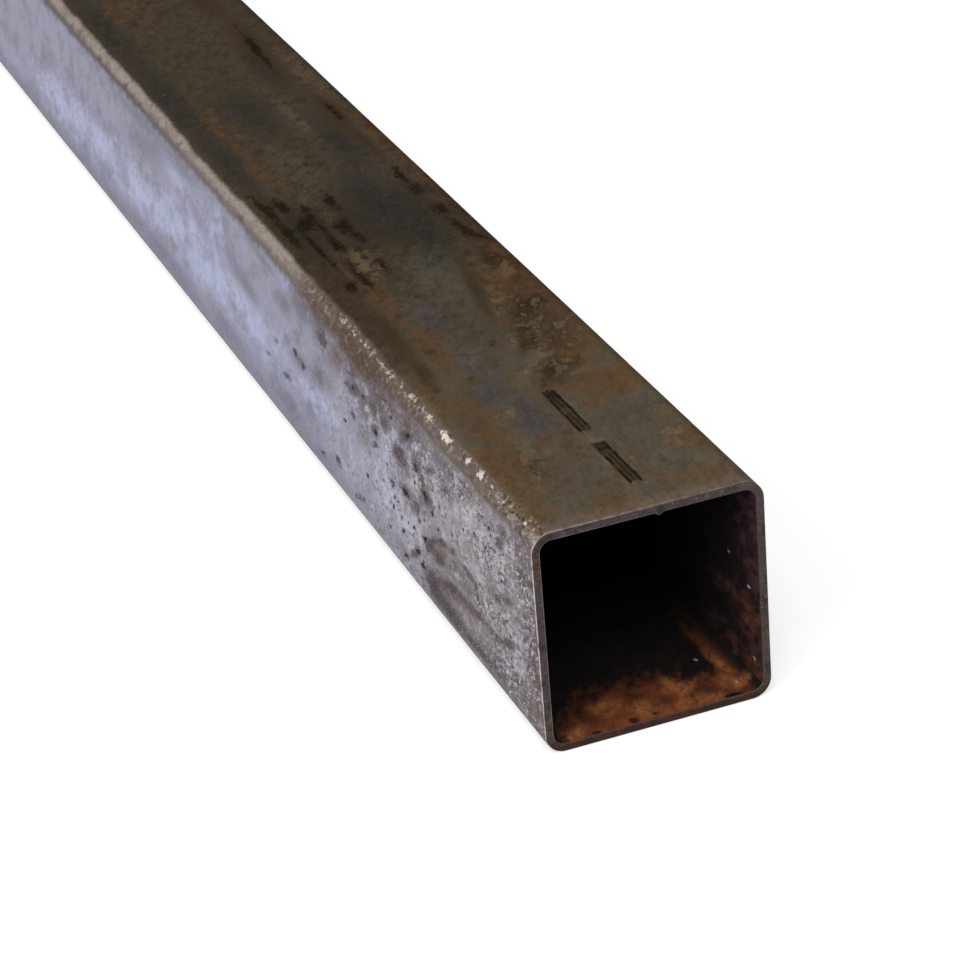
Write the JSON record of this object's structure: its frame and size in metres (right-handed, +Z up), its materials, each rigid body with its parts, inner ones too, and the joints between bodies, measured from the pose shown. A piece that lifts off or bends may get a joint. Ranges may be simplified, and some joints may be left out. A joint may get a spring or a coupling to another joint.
{
  "type": "square steel tube",
  "caption": "Length of square steel tube with rounded corners, an inside weld seam and sawn open ends.",
  "frame": {"origin": "on the floor, under the middle of the tube", "axes": "+X along the tube, +Z up through the wall that holds the weld seam"},
  "size_m": [1, 0.08, 0.08],
  "materials": {
    "steel": "mild steel with brown and blue-grey mill scale, patches of light rust and pitting; bare sawn ends"
  },
  "bodies": {
    "root": {"square_tube": "steel"}
  },
  "joints": []
}
